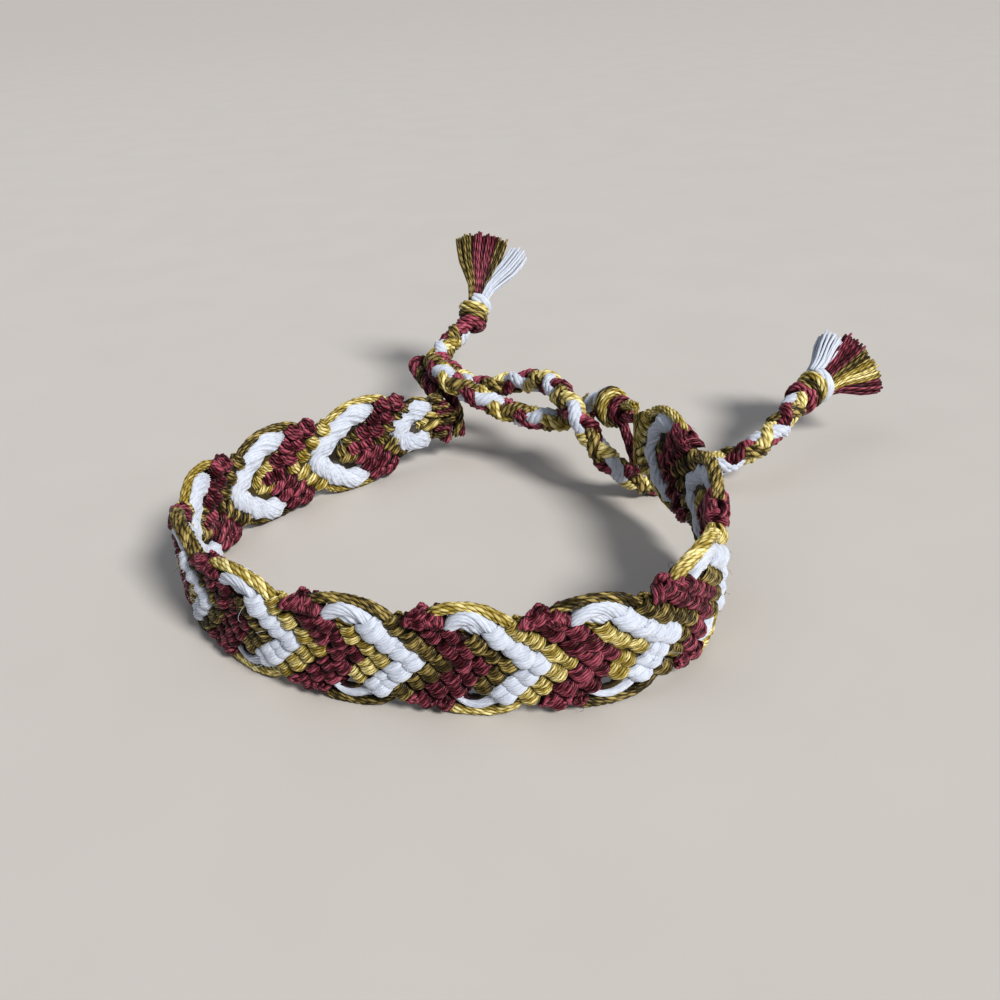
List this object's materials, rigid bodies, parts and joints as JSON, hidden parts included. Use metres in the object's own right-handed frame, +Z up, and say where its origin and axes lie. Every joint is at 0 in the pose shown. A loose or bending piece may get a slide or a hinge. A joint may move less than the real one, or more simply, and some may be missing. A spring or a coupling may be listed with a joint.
{
  "type": "woven bracelet",
  "caption": "Friendship bracelet knotted from cotton floss: pierced chevron band with scalloped edges, standing on its edge, closed by braided ties with stopper knots and tassels.",
  "frame": {"origin": "bottom centre of the box round the band, its beginning loop and its finishing knot, on the surface that the bracelet stands on", "axes": "+Z up, along the width of the band; +Y from the front of the loop towards the ties; +X to the side where the band finishes and the longer tail points"},
  "size_m": [0.0831, 0.0769, 0.024],
  "materials": {
    "burgundy_floss": "mercerised cotton floss, burgundy",
    "white_floss": "mercerised cotton floss, cool white",
    "gold_floss": "mercerised cotton floss, mustard gold",
    "olive_floss": "mercerised cotton floss, olive bronze"
  },
  "bodies": {
    "root": {"band": "burgundy_floss", "start_loop": "burgundy_floss", "end_wrap": "gold_floss", "tie_start": "olive_floss", "tie_end": "olive_floss", "stopper_knot_start": "white_floss", "stopper_knot_end": "gold_floss", "tassel_start": "burgundy_floss", "tassel_end": "burgundy_floss"}
  },
  "joints": []
}
